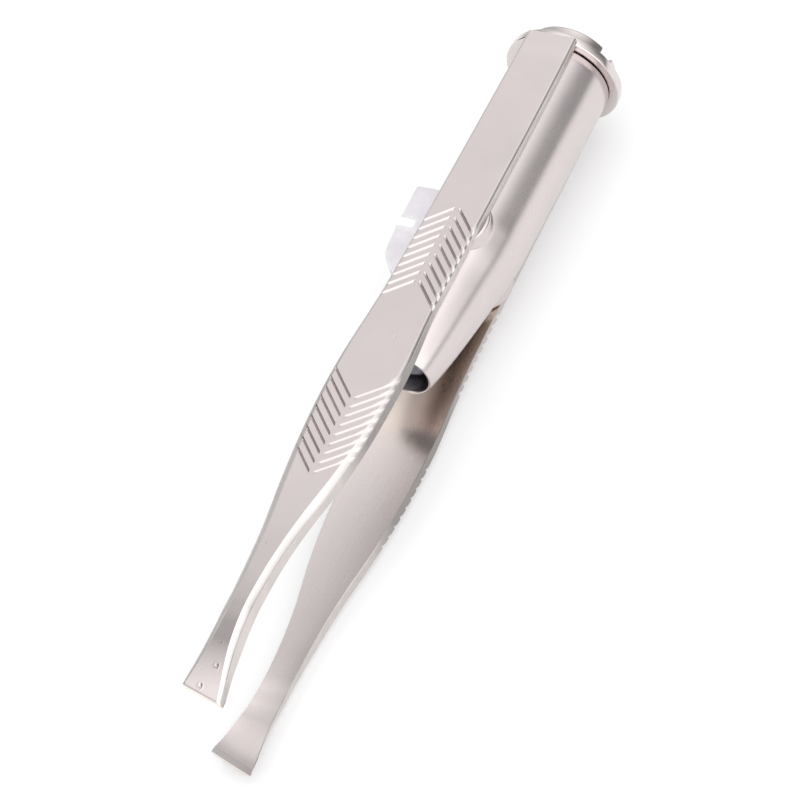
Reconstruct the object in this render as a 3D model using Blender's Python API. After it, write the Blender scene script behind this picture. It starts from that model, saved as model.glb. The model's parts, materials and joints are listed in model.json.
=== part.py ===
"""Slant tweezers with a lamp: two sprung stamped arms on a battery tube.

Frame: +X to the right across the arms, +Y along the tube towards the end cap,
+Z up.  The tips point to -Y.  The origin is on the flat belly of the lower
arm, the part's lowest face, so the part stands on Z = 0.  Inside this file
`y` is counted from the underside of the cap's flange and `z` from the tube's
axis, and place() moves the finished pieces into the part's frame.
"""
import math

import bmesh
import bpy
from mathutils import Matrix, Vector

MM = 0.001

# ---------------------------------------------------------------- dimensions
TUBE_R = 5.70            # battery tube, outside
TUBE_WALL = 0.60
TUBE_STRAIGHT_END = -25.0
NOSE_Y = -43.90          # open front end of the nose
NOSE_LIP_R = 3.10
NOSE_BORE_R = 2.78
PAD_R = 3.78             # round flat pads that carry the arms
PAD_Y = -26.5
FIT_GAP = 0.15           # clearance between neighbouring pieces

FLANGE_R = 6.76          # end cap
FLANGE_T = 1.13
BOSS_R = 5.20
BOSS_H = 1.97
COIN_SLOT_W = 2.03
COIN_SLOT_DEPTH = 1.35
COIN_SLOT_ANGLE = 67.5   # degrees from +Z towards +X
SPIGOT_LEN = 4.0
SPIGOT_R = TUBE_R - TUBE_WALL - FIT_GAP
SPIGOT_BORE_R = 4.25
THREAD_PITCH = 0.75      # mm a turn; four turns free the cap

CELL_R = 3.95            # LR41 button cell, 7.9 x 3.6
CELL_T = 3.60
CELL_START = -5.40
CELL_PITCH = CELL_T + FIT_GAP

ARM_T = 0.90             # stamped strip
INNER_HOLLOW = 0.12                 # how far the inside is hollowed between its two edges
ARM_TAIL_Y = -0.25
FLEX_Y = -32.0           # line the arm bends about
FLEX_Z = 6.68
FLEX_GAP = 0.30
BELLY_Z = 8.26           # outer face of the arm, from the tube's axis
BELLY_FRONT = -81.8
BELLY_BACK = -77.0
ORIGIN_Y = -79.5         # middle of the belly
TIP_LEFT_Y = -91.25
TIP_RIGHT_Y = -93.05
SLANT_FROM = -84.0
TIP_GRIND = 0.75         # length of the flat ground inside each tip
TIP_GRIND_DEPTH = 0.20
CLOSED_SLOPE = 0.0975    # tangent of the angle each arm turns to close

KNOB_HALF_Z = 1.0
KNOB_TRAVEL = 2.0

SEG = 56                 # facets of the large round pieces


# ------------------------------------------------------------------- helpers
def clear_scene():
    for obj in list(bpy.data.objects):
        bpy.data.objects.remove(obj, do_unlink=True)
    for mesh in list(bpy.data.meshes):
        bpy.data.meshes.remove(mesh)
    for curve in list(bpy.data.curves):
        bpy.data.curves.remove(curve)
    for mat in list(bpy.data.materials):
        bpy.data.materials.remove(mat)


def material(name, color, rough, metal=0.0, transmission=0.0):
    mat = bpy.data.materials.new(name)
    mat.use_nodes = True
    bsdf = mat.node_tree.nodes["Principled BSDF"]
    bsdf.inputs["Base Color"].default_value = (*color, 1.0)
    bsdf.inputs["Roughness"].default_value = rough
    bsdf.inputs["Metallic"].default_value = metal
    bsdf.inputs["Transmission Weight"].default_value = transmission
    mat.diffuse_color = (*color, 1.0)
    return mat


def link(name, mesh, mat, smooth_angle=35.0):
    obj = bpy.data.objects.new(name, mesh)
    bpy.context.collection.objects.link(obj)
    if mat is not None:
        mesh.materials.append(mat)
    if smooth_angle:
        mesh.shade_smooth()
        mesh.set_sharp_from_angle(angle=math.radians(smooth_angle))
    return obj


def bm_to_mesh(bm, name):
    bmesh.ops.remove_doubles(bm, verts=bm.verts, dist=1e-7)
    bmesh.ops.recalc_face_normals(bm, faces=bm.faces)
    mesh = bpy.data.meshes.new(name)
    bm.to_mesh(mesh)
    bm.free()
    return mesh


def turned_mesh(name, profile, seg=SEG):
    """Spin a closed outline of (radius, y) points, in mm, about the Y axis."""
    bm = bmesh.new()
    verts = [bm.verts.new((r * MM, y * MM, 0.0)) for r, y in profile]
    edges = []
    count = len(verts)
    for i in range(count):
        a, b = profile[i], profile[(i + 1) % count]
        if a[0] < 1e-6 and b[0] < 1e-6:
            continue
        edges.append(bm.edges.new((verts[i], verts[(i + 1) % count])))
    bmesh.ops.spin(bm, geom=verts + edges, cent=(0, 0, 0), axis=(0, 1, 0),
                   dvec=(0, 0, 0), angle=2 * math.pi, steps=seg, use_merge=True)
    return bm_to_mesh(bm, name)


def box_mesh(name, lo, hi, bevel=0.0, segments=1):
    bm = bmesh.new()
    bmesh.ops.create_cube(bm, size=1.0)
    size = [(b - a) * MM for a, b in zip(lo, hi)]
    mid = [(b + a) * 0.5 * MM for a, b in zip(lo, hi)]
    bmesh.ops.scale(bm, vec=size, verts=bm.verts)
    bmesh.ops.translate(bm, vec=mid, verts=bm.verts)
    if bevel:
        bmesh.ops.bevel(bm, geom=bm.edges[:], offset=bevel * MM,
                        segments=segments, profile=0.5, affect='EDGES')
    return bm_to_mesh(bm, name)


def prism_mesh(name, outline, z_lo, z_hi, bevel=0.0, segments=1):
    """Extrude an outline of (x, y) points, in mm, from z_lo to z_hi."""
    bm = bmesh.new()
    verts = [bm.verts.new((x * MM, y * MM, z_lo * MM)) for x, y in outline]
    face = bm.faces.new(verts)
    out = bmesh.ops.extrude_face_region(bm, geom=[face])
    top = [v for v in out["geom"] if isinstance(v, bmesh.types.BMVert)]
    bmesh.ops.translate(bm, vec=(0, 0, (z_hi - z_lo) * MM), verts=top)
    bmesh.ops.recalc_face_normals(bm, faces=bm.faces)
    if bevel:
        bmesh.ops.bevel(bm, geom=bm.edges[:], offset=bevel * MM,
                        segments=segments, profile=0.5, affect='EDGES')
    return bm_to_mesh(bm, name)


def rod_mesh(name, start, end, radius, seg=24):
    bm = bmesh.new()
    a, b = Vector(start) * MM, Vector(end) * MM
    turn = (b - a).to_track_quat('Z', 'Y').to_matrix().to_4x4()
    bmesh.ops.create_cone(bm, cap_ends=True, segments=seg,
                          radius1=radius * MM, radius2=radius * MM,
                          depth=(b - a).length,
                          matrix=Matrix.Translation((a + b) * 0.5) @ turn)
    return bm_to_mesh(bm, name)


def wire_object(name, points, radius, mat, resolution=1):
    """Round wire through points in mm."""
    curve = bpy.data.curves.new(name, 'CURVE')
    curve.dimensions = '3D'
    curve.bevel_depth = radius * MM
    curve.bevel_resolution = resolution
    curve.use_fill_caps = True
    spline = curve.splines.new('POLY')
    spline.points.add(len(points) - 1)
    for item, co in zip(spline.points, points):
        item.co = (co[0] * MM, co[1] * MM, co[2] * MM, 1.0)
    curve.materials.append(mat)
    obj = bpy.data.objects.new(name, curve)
    bpy.context.collection.objects.link(obj)
    return obj


def boolean(obj, cutter_mesh, operation):
    cutter = bpy.data.objects.new(obj.name + "_tool", cutter_mesh)
    bpy.context.collection.objects.link(cutter)
    cutter.hide_render = True
    cutter.display_type = 'WIRE'
    mod = obj.modifiers.new(operation.lower(), 'BOOLEAN')
    mod.operation = operation
    mod.solver = 'EXACT'
    mod.object = cutter
    return cutter


def place(obj, pivot=(0.0, 0.0, 0.0)):
    """Put the object's origin on its pivot and move it into the part's frame."""
    shift = Vector((0.0, -ORIGIN_Y * MM, BELLY_Z * MM))
    base = Vector(pivot) * MM
    if obj.data is not None and hasattr(obj.data, "transform"):
        obj.data.transform(Matrix.Translation(-base))
    obj.location = base + shift
    return obj


def between(table, y):
    """Smooth (monotone cubic) reading of a table of (y, value), y falling."""
    ys = [-a for a, _ in table]
    vs = [b for _, b in table]
    x = -y
    if x <= ys[0]:
        return vs[0]
    if x >= ys[-1]:
        slope = (vs[-1] - vs[-2]) / (ys[-1] - ys[-2])
        return vs[-1] + slope * (x - ys[-1])
    n = len(ys)
    d = [(vs[i + 1] - vs[i]) / (ys[i + 1] - ys[i]) for i in range(n - 1)]
    m = [d[0]] + [0.0 if d[i - 1] * d[i] <= 0 else
                  2.0 * d[i - 1] * d[i] / (d[i - 1] + d[i])
                  for i in range(1, n - 1)] + [d[-1]]
    i = max(k for k in range(n - 1) if ys[k] <= x)
    h = ys[i + 1] - ys[i]
    t = (x - ys[i]) / h
    return ((2 * t ** 3 - 3 * t ** 2 + 1) * vs[i] + (t ** 3 - 2 * t ** 2 + t) * h * m[i]
            + (-2 * t ** 3 + 3 * t ** 2) * vs[i + 1] + (t ** 3 - t ** 2) * h * m[i + 1])


# ------------------------------------------------------------ arm definition
# outer face height above the tube's axis, along the arm
ARM_RISE = [(0.0, 6.76), (-12.0, 6.82), (-22.0, 6.97), (-33.0, 7.16),
            (-42.0, 7.42), (-51.0, 7.64), (-60.0, 7.80), (-69.0, 8.00),
            (BELLY_BACK, BELLY_Z), (BELLY_FRONT, BELLY_Z), (-84.0, 8.10),
            (-86.5, 7.78), (-89.0, 7.33), (-93.0, 6.48)]
# full width of the arm
ARM_WIDTH = [(0.0, 5.80), (-12.0, 6.12), (-22.0, 6.25), (-33.0, 6.50),
             (-38.0, 6.62), (-42.0, 7.00), (-45.0, 7.45), (-48.0, 7.80),
             (-51.0, 7.88), (-54.0, 7.80), (-57.0, 7.60), (-60.0, 7.22),
             (-63.0, 6.62), (-66.0, 5.78), (-69.0, 4.78), (-72.0, 3.92),
             (-75.0, 3.32), (-78.0, 2.93), (-81.0, 2.77), (-84.0, 2.92),
             (-86.5, 3.30), (-89.0, 3.92), (-91.0, 4.52), (-93.0, 5.08)]
# full depth of the rolled sides, measured from the outer face
ARM_DEPTH = [(0.0, ARM_T), (-36.0, ARM_T), (-42.0, 1.35), (-50.0, 1.65),
             (-80.0, 1.75), (-86.0, 1.60), (-91.0, ARM_T), (-93.0, ARM_T)]


def arm_section(y, side):
    """Closed section of the arm: flat web, edges turned down outside, barely hollow inside.

    Ahead of SLANT_FROM the sections turn until they lie along the slanted
    edge, and at the very end the inside is ground to meet the other tip.
    """
    tip_mid = 0.5 * (TIP_LEFT_Y + TIP_RIGHT_Y)
    top = between(ARM_RISE, y)
    half = between(ARM_WIDTH, y) * 0.5
    depth = between(ARM_DEPTH, y)
    grind = TIP_GRIND_DEPTH * min(1.0, max(0.0, (tip_mid + TIP_GRIND - y) / TIP_GRIND))
    web = max(ARM_T, depth - INNER_HOLLOW) - grind
    lip = min(0.80, half * 0.45)
    r = 0.12 + 0.45 * min(1.0, max(0.0, (depth - ARM_T) / 0.5))
    drop = max(depth - grind, web + 0.02)
    pts = [(-half, drop), (-half, r), (-half + 0.3 * r, 0.3 * r), (-half + r, 0.0),
           (half - r, 0.0), (half - 0.3 * r, 0.3 * r), (half, r), (half, drop),
           (half - lip, drop), (half - lip - 0.15, web),
           (-half + lip + 0.15, web), (-half + lip, drop)]
    ramp = min(1.0, max(0.0, (SLANT_FROM - y) / (SLANT_FROM - tip_mid)))
    ramp = ramp * ramp * (3 - 2 * ramp)
    out = []
    for x, down in pts:
        skew = 0.5 * (TIP_RIGHT_Y - TIP_LEFT_Y) * ramp * (x / half)
        wide = between(ARM_WIDTH, y + skew) * 0.5 / half
        out.append((x * wide, y + skew, (top - CLOSED_SLOPE * skew - down) * side))
    return out


def arm_mesh(name, y_from, y_to, side, grind=False):
    """Loft the arm's sections between two stations. side is +1 or -1."""
    count = max(4, int(round((y_from - y_to) / 1.6)))
    stations = [y_from + (y_to - y_from) * i / count for i in range(count + 1)]
    if grind:
        stations.insert(count, y_to + TIP_GRIND)
    bm = bmesh.new()
    rings = []
    for y in stations:
        ring = [bm.verts.new(Vector(p) * MM) for p in arm_section(y, side)]
        rings.append(ring)
    size = len(rings[0])
    for a, b in zip(rings, rings[1:]):
        for i in range(size):
            j = (i + 1) % size
            bm.faces.new((a[i], a[j], b[j], b[i]))
    # ends: web and the two lips, as three quads and two small corner faces
    for ring in (rings[0], rings[-1]):
        bm.faces.new((ring[0], ring[1], ring[2], ring[3], ring[10], ring[11]))
        bm.faces.new((ring[3], ring[4], ring[9], ring[10]))
        bm.faces.new((ring[4], ring[5], ring[6], ring[7], ring[8], ring[9]))
    return bm_to_mesh(bm, name)


# ---------------------------------------------------------------------- tube
def nose_radius(y):
    """Outside radius of the tube: straight, then an ogive down to the lip."""
    return between([(TUBE_STRAIGHT_END, TUBE_R), (-28.0, 5.40), (-31.0, 5.03),
                    (-34.6, 4.62), (-38.4, 4.13), (-42.0, 3.55),
                    (NOSE_Y + 0.25, 3.22), (NOSE_Y, NOSE_LIP_R)], y)


def build_tube(mat):
    outer = [(TUBE_R - 0.10, -FIT_GAP), (TUBE_R, -FIT_GAP - 0.12)]
    y = TUBE_STRAIGHT_END
    outer.append((TUBE_R, y))
    while y > NOSE_Y + 1.6:
        y -= 1.55
        outer.append((nose_radius(y), y))
    outer.append((NOSE_LIP_R + 0.05, NOSE_Y + 0.12))
    outer.append((NOSE_LIP_R - 0.05, NOSE_Y))
    inner = [(NOSE_BORE_R, NOSE_Y), (NOSE_BORE_R, NOSE_Y + 1.2)]
    for yy in (-40.5, -38.0, -34.6, -31.0, -28.0):
        inner.append((nose_radius(yy) - TUBE_WALL - 0.05, yy))
    inner.append((TUBE_R - TUBE_WALL, TUBE_STRAIGHT_END))
    inner.append((TUBE_R - TUBE_WALL, -FIT_GAP))
    mesh = turned_mesh("lamp_tube", outer + inner)
    obj = link("lamp_tube", mesh, mat, 30.0)

    # two round raised pads with a flat top, the seats of the two arms
    for side in (1, -1):
        flat_top = between(ARM_RISE, PAD_Y) - ARM_T - FIT_GAP
        pad = rod_mesh("pad", (0, PAD_Y, side * 4.0), (0, PAD_Y, side * flat_top), PAD_R, 48)
        core = turned_mesh("core", [(0.0, PAD_Y + 5), (TUBE_R - 0.3, PAD_Y + 5),
                                    (4.9, PAD_Y - 5), (0.0, PAD_Y - 5)], SEG)
        pad_obj = bpy.data.objects.new("pad_%s" % ("top" if side > 0 else "bottom"), pad)
        bpy.context.collection.objects.link(pad_obj)
        pad_obj.hide_render = True
        pad_obj.display_type = 'WIRE'
        boolean(pad_obj, core, 'DIFFERENCE')
        mod = obj.modifiers.new("pad", 'BOOLEAN')
        mod.operation = 'UNION'
        mod.solver = 'EXACT'
        mod.object = pad_obj
    # slot for the switch's stem, on the left
    slot = box_mesh("slot", (-7.0, -28.6, -0.95), (-3.4, -22.1, 0.95), 0.3, 2)
    boolean(obj, slot, 'DIFFERENCE')
    return obj


# ------------------------------------------------------------------- end cap
def build_cap(mat):
    top = FLANGE_T + BOSS_H
    floor = -0.35
    profile = [(0.0, top), (BOSS_R - 0.25, top), (BOSS_R, top - 0.25),
               (BOSS_R, FLANGE_T), (FLANGE_R - 0.15, FLANGE_T),
               (FLANGE_R, FLANGE_T - 0.15), (FLANGE_R, 0.15),
               (FLANGE_R - 0.15, 0.0), (SPIGOT_R, 0.0),
               (SPIGOT_R, -SPIGOT_LEN + 0.3), (SPIGOT_R - 0.3, -SPIGOT_LEN),
               (SPIGOT_BORE_R, -SPIGOT_LEN), (SPIGOT_BORE_R, floor), (0.0, floor)]
    obj = link("end_cap", turned_mesh("end_cap", profile), mat, 30.0)
    slot = box_mesh("slot", (-COIN_SLOT_W / 2, top - COIN_SLOT_DEPTH, -8.0),
                    (COIN_SLOT_W / 2, top + 1.0, 8.0))
    slot.transform(Matrix.Rotation(math.radians(COIN_SLOT_ANGLE), 4, 'Y'))
    boolean(obj, slot, 'DIFFERENCE')
    return obj


def build_battery_parts(steel, nickel, plastic, spring_steel):
    plate = [(0.0, -0.50), (4.05, -0.50), (4.05, -0.80), (0.0, -0.80)]
    objs = [link("cap_contact_plate", turned_mesh("cap_contact_plate", plate, 40), nickel)]
    turns, steps = 3.5, 56
    pts = []
    for i in range(steps + 1):
        f = i / steps
        ang = 2 * math.pi * turns * f
        rad = 3.1 - 1.2 * f
        rise = min(max((f - 0.12) / 0.76, 0.0), 1.0)
        yy = -1.15 - 3.9 * rise
        pts.append((rad * math.cos(ang), yy, rad * math.sin(ang)))
    objs.append(wire_object("battery_spring", pts, 0.20, spring_steel, 1))

    sleeve = [(4.85, -4.30), (4.85, -17.3), (4.12, -17.3), (4.12, -4.30)]
    objs.append(link("battery_sleeve", turned_mesh("battery_sleeve", sleeve, 40), plastic))
    for i in range(3):
        y0 = CELL_START - i * CELL_PITCH
        cell = [(0.0, y0), (2.95, y0), (3.15, y0 - 0.15), (3.15, y0 - 0.35),
                (3.75, y0 - 0.35), (CELL_R, y0 - 0.55), (CELL_R, y0 - CELL_T + 0.2),
                (CELL_R - 0.2, y0 - CELL_T), (0.0, y0 - CELL_T)]
        objs.append(link("cell_%d" % (i + 1), turned_mesh("cell_%d" % (i + 1), cell, 40), steel))

    y1 = CELL_START - 2 * CELL_PITCH - CELL_T - FIT_GAP
    disc = [(0.0, y1), (3.9, y1), (3.9, y1 - 0.3), (0.0, y1 - 0.3)]
    contact = link("front_contact", turned_mesh("front_contact", disc, 40), nickel)
    boolean(contact, box_mesh("tongue", (-1.50, -24.0, -0.8), (-1.28, y1 - 0.1, 0.8)), 'UNION')
    objs.append(contact)
    return objs


def build_lamp(clear, nickel, plastic):
    holder = [(0.0, -30.2), (4.15, -30.2), (3.75, -34.4), (0.0, -34.4)]
    obj = link("led_holder", turned_mesh("led_holder", holder, 40), plastic)
    for x in (-1.27, 1.27):
        boolean(obj, rod_mesh("lead_hole", (x, -29.0, 0), (x, -36.0, 0), 0.50, 16), 'DIFFERENCE')
    out = [obj]
    r = 2.50
    lens = [(0.0, -34.70), (2.90, -34.70), (2.90, -35.70), (r, -35.70), (r, -40.60)]
    for i in range(1, 8):
        a = math.radians(90.0 * i / 8)
        lens.append((r * math.cos(a), -40.60 - r * math.sin(a)))
    lens.append((0.0, -40.60 - r))
    out.append(link("led_lamp", turned_mesh("led_lamp", lens, 40), clear))
    out.append(wire_object("led_anode_lead", [(-1.27, -34.55, 0), (-1.27, -27.0, 0)],
                           0.24, nickel, 2))
    bend = []
    for i in range(9):
        a = math.radians(80.0 * i / 8)
        bend.append((1.27 + 0.9 * (1 - math.cos(a)), -29.8 + 0.9 * math.sin(a), 0.0))
    bend.append((4.25, -28.55, 0.0))
    out.append(wire_object("led_cathode_lead", [(1.27, -34.55, 0)] + bend, 0.24, nickel, 2))
    return out


def build_switch(white, plastic, nickel):
    """Thumb slide on the left: two lobes with a nail notch between them."""
    outline = [(-5.90, -19.27), (-8.93, -19.27), (-9.17, -19.50), (-9.17, -23.90),
               (-7.45, -23.98), (-7.30, -24.15), (-7.30, -24.80), (-7.45, -24.95),
               (-9.17, -25.00), (-9.00, -27.00), (-8.88, -28.35), (-8.58, -29.45),
               (-7.75, -30.62), (-6.75, -31.62), (-5.90, -31.70)]
    knob = link("switch_knob", prism_mesh("switch_knob", outline, -KNOB_HALF_Z, KNOB_HALF_Z,
                                          0.12, 2), white, 40.0)
    boolean(knob, box_mesh("stem", (-6.4, -26.4, -0.70), (-3.85, -22.4, 0.70)), 'UNION')
    carrier = link("switch_carrier",
                   box_mesh("switch_carrier", (-3.70, -27.4, -1.6), (-2.00, -20.6, 1.6), 0.15),
                   plastic)
    leaf = link("switch_contact",
                box_mesh("switch_contact", (-1.88, -26.5, -0.9), (-1.66, -21.0, 0.9)), nickel)
    return [knob, carrier, leaf]


# --------------------------------------------------------------------- build
def build():
    clear_scene()
    satin = material("satin_steel", (0.66, 0.63, 0.61), 0.32, 1.0)
    polished = material("polished_steel", (0.80, 0.78, 0.77), 0.20, 1.0)
    nickel = material("nickel_plate", (0.72, 0.68, 0.60), 0.30, 1.0)
    spring_steel = material("spring_steel", (0.60, 0.60, 0.62), 0.30, 1.0)
    can = material("cell_can", (0.74, 0.74, 0.75), 0.25, 1.0)
    white = material("translucent_white", (0.90, 0.90, 0.92), 0.35, 0.0, 0.3)
    black = material("black_plastic", (0.05, 0.05, 0.06), 0.50)
    clear = material("lamp_epoxy", (0.62, 0.66, 0.74), 0.06, 0.0, 0.9)

    place(build_tube(polished))
    place(build_cap(polished), (0.0, 0.0, 0.0))
    for obj in build_battery_parts(can, nickel, black, spring_steel):
        place(obj)
    for obj in build_lamp(clear, nickel, black):
        place(obj)
    for obj in build_switch(white, black, nickel):
        place(obj, (-7.0, -24.4, 0.0))
    for label, side in (("upper", 1), ("lower", -1)):
        root = link(label + "_arm_root",
                    arm_mesh(label + "_arm_root", ARM_TAIL_Y, FLEX_Y + FLEX_GAP / 2, side),
                    satin, 40.0)
        place(root)
        tip_mid = 0.5 * (TIP_LEFT_Y + TIP_RIGHT_Y)
        blade = link(label + "_arm_blade",
                     arm_mesh(label + "_arm_blade", FLEX_Y - FLEX_GAP / 2, tip_mid, side, True),
                     satin, 40.0)
        place(blade, (0.0, FLEX_Y, side * FLEX_Z))

    # cutters and guides move with the pieces they shape
    shift = Vector((0.0, -ORIGIN_Y * MM, BELLY_Z * MM))
    for obj in bpy.data.objects:
        if obj.hide_render:
            obj.location = shift
    bpy.context.view_layer.update()


build()
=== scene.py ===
import json
import math

import bmesh
import bpy
import numpy as np
from mathutils import Matrix, Vector

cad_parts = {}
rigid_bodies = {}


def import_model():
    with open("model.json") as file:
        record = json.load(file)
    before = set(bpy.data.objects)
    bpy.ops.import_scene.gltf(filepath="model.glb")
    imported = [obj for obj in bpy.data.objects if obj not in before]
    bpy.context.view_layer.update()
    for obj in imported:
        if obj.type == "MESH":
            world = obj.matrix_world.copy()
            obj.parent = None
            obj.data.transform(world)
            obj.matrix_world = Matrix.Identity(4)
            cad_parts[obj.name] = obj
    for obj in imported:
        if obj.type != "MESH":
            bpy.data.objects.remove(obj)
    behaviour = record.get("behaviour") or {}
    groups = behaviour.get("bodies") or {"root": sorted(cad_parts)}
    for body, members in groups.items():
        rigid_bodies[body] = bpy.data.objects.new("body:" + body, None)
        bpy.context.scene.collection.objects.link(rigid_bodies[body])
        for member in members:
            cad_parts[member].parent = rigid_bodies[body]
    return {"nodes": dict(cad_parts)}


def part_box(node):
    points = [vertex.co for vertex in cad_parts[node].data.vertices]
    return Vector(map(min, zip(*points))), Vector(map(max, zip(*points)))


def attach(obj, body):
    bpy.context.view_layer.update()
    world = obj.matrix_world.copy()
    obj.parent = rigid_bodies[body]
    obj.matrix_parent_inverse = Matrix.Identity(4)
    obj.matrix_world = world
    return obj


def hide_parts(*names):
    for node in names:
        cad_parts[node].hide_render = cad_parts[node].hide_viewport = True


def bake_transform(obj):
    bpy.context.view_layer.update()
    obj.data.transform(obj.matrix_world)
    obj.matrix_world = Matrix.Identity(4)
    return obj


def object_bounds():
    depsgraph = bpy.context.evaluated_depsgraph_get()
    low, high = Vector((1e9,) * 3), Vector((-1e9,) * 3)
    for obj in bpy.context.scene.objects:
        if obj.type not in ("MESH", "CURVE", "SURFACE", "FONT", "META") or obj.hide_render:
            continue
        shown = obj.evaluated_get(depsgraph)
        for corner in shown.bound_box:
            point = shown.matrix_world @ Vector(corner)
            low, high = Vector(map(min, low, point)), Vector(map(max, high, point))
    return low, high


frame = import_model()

CAD_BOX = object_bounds()
MM = 0.001

# --------------------------------------------------------------------------
# Layout, read from the CAD nodes.  Local millimetres: x across the arms,
# y from the underside of the cap's flange (tips to -y), z from the tube axis.
# --------------------------------------------------------------------------
tube_lo, tube_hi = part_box("lamp_tube")
cap_lo, cap_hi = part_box("end_cap")
low_lo, low_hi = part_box("lower_arm_blade")
up_lo, up_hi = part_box("upper_arm_blade")
AXIS_Z = 0.5 * (low_lo[2] + up_hi[2])
TUBE_FRONT = -43.90
ORIGIN_Y = tube_lo[1] - TUBE_FRONT * MM          # world y of local y = 0
BELLY_Z = (up_hi[2] - AXIS_Z) / MM               # 8.26


def world(x, y, z):
    return Vector((x * MM, y * MM + ORIGIN_Y, z * MM + AXIS_Z))


# ------------------------------------------------------------------ helpers
def smoothstep(a, b, x):
    t = np.clip((np.asarray(x, float) - a) / (b - a), 0.0, 1.0)
    return t * t * (3 - 2 * t)


def between(table, y):
    """Monotone cubic reading of (y, value) stations, y falling."""
    ys = -np.array([a for a, _ in table], float)
    vs = np.array([b for _, b in table], float)
    x = np.clip(-np.asarray(y, float), ys[0], ys[-1])
    d = np.diff(vs) / np.diff(ys)
    m = np.empty(len(ys))
    m[0], m[-1] = d[0], d[-1]
    for i in range(1, len(ys) - 1):
        m[i] = 0.0 if d[i - 1] * d[i] <= 0 else 2 * d[i - 1] * d[i] / (d[i - 1] + d[i])
    i = np.clip(np.searchsorted(ys, x, side="right") - 1, 0, len(ys) - 2)
    h = ys[i + 1] - ys[i]
    t = (x - ys[i]) / h
    out = ((2 * t ** 3 - 3 * t ** 2 + 1) * vs[i] + (t ** 3 - 2 * t ** 2 + t) * h * m[i]
           + (-2 * t ** 3 + 3 * t ** 2) * vs[i + 1] + (t ** 3 - t ** 2) * h * m[i + 1])
    over = -np.asarray(y, float) - ys[-1]
    return out + np.where(over > 0, over * d[-1], 0.0)


def mesh_object(name, verts, faces, mats, smooth=True, angle=None):
    me = bpy.data.meshes.new(name)
    me.from_pydata([tuple(v) for v in verts], [], faces)
    me.validate()
    me.update()
    ob = bpy.data.objects.new(name, me)
    bpy.context.collection.objects.link(ob)
    for m in (mats if isinstance(mats, (list, tuple)) else [mats]):
        me.materials.append(m)
    if smooth:
        me.shade_smooth()
        if angle:
            me.set_sharp_from_angle(angle=math.radians(angle))
    return ob


def bm_object(name, bm, mats, angle=35.0):
    bmesh.ops.recalc_face_normals(bm, faces=bm.faces)
    me = bpy.data.meshes.new(name)
    bm.to_mesh(me)
    bm.free()
    ob = bpy.data.objects.new(name, me)
    bpy.context.collection.objects.link(ob)
    for m in (mats if isinstance(mats, (list, tuple)) else [mats]):
        me.materials.append(m)
    me.shade_smooth()
    if angle:
        me.set_sharp_from_angle(angle=math.radians(angle))
    return ob


def turned(name, profile, mats, seg=160, angle=30.0):
    """Closed outline of (radius, y), in mm, turned about the tube's axis."""
    n = len(profile)
    verts, ring_of = [], []
    for r, y in profile:
        if r < 1e-6:
            ring_of.append([len(verts)] * seg)
            verts.append(world(0, y, 0))
        else:
            ring = []
            for k in range(seg):
                a = 2 * math.pi * k / seg
                ring.append(len(verts))
                verts.append(world(r * math.sin(a), y, r * math.cos(a)))
            ring_of.append(ring)
    faces = []
    for i in range(n):
        a, b = ring_of[i], ring_of[(i + 1) % n]
        pole_a, pole_b = a[0] == a[1], b[0] == b[1]
        if pole_a and pole_b:
            continue
        for k in range(seg):
            j = (k + 1) % seg
            if pole_a:
                faces.append((a[0], b[k], b[j]))
            elif pole_b:
                faces.append((a[k], b[0], a[j]))
            else:
                faces.append((a[k], b[k], b[j], a[j]))
    ob = mesh_object(name, verts, faces, mats, True, angle)
    bm = bmesh.new()
    bm.from_mesh(ob.data)
    bmesh.ops.recalc_face_normals(bm, faces=bm.faces)
    bm.to_mesh(ob.data)
    bm.free()
    ob.data.shade_smooth()
    ob.data.set_sharp_from_angle(angle=math.radians(angle))
    return ob


def arc(cx, cy, r, a0, a1, n):
    """Points of an arc in the (radius, y) plane, angles in degrees."""
    return [(cx + r * math.cos(math.radians(a0 + (a1 - a0) * i / n)),
             cy + r * math.sin(math.radians(a0 + (a1 - a0) * i / n))) for i in range(n + 1)]


# ---------------------------------------------------------------- materials
def new_material(name):
    m = bpy.data.materials.new(name)
    m.use_nodes = True
    nt = m.node_tree
    return m, nt, nt.nodes["Principled BSDF"]


def node(nt, kind, **inputs):
    n = nt.nodes.new(kind)
    for k, v in inputs.items():
        if hasattr(n, k) and k not in n.inputs:
            setattr(n, k, v)
        else:
            n.inputs[k].default_value = v
    return n


def ramp(nt, fac, stops):
    r = nt.nodes.new("ShaderNodeValToRGB")
    els = r.color_ramp.elements
    while len(els) > 1:
        els.remove(els[-1])
    els[0].position, els[0].color = stops[0][0], (*stops[0][1], 1.0)
    for p, c in stops[1:]:
        e = els.new(p)
        e.color = (*c, 1.0)
    nt.links.new(fac, r.inputs["Fac"])
    return r


def object_coords(nt, scale=(1, 1, 1)):
    t = nt.nodes.new("ShaderNodeTexCoord")
    m = nt.nodes.new("ShaderNodeMapping")
    m.inputs["Scale"].default_value = scale
    nt.links.new(t.outputs["Object"], m.inputs["Vector"])
    return m.outputs["Vector"]


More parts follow.
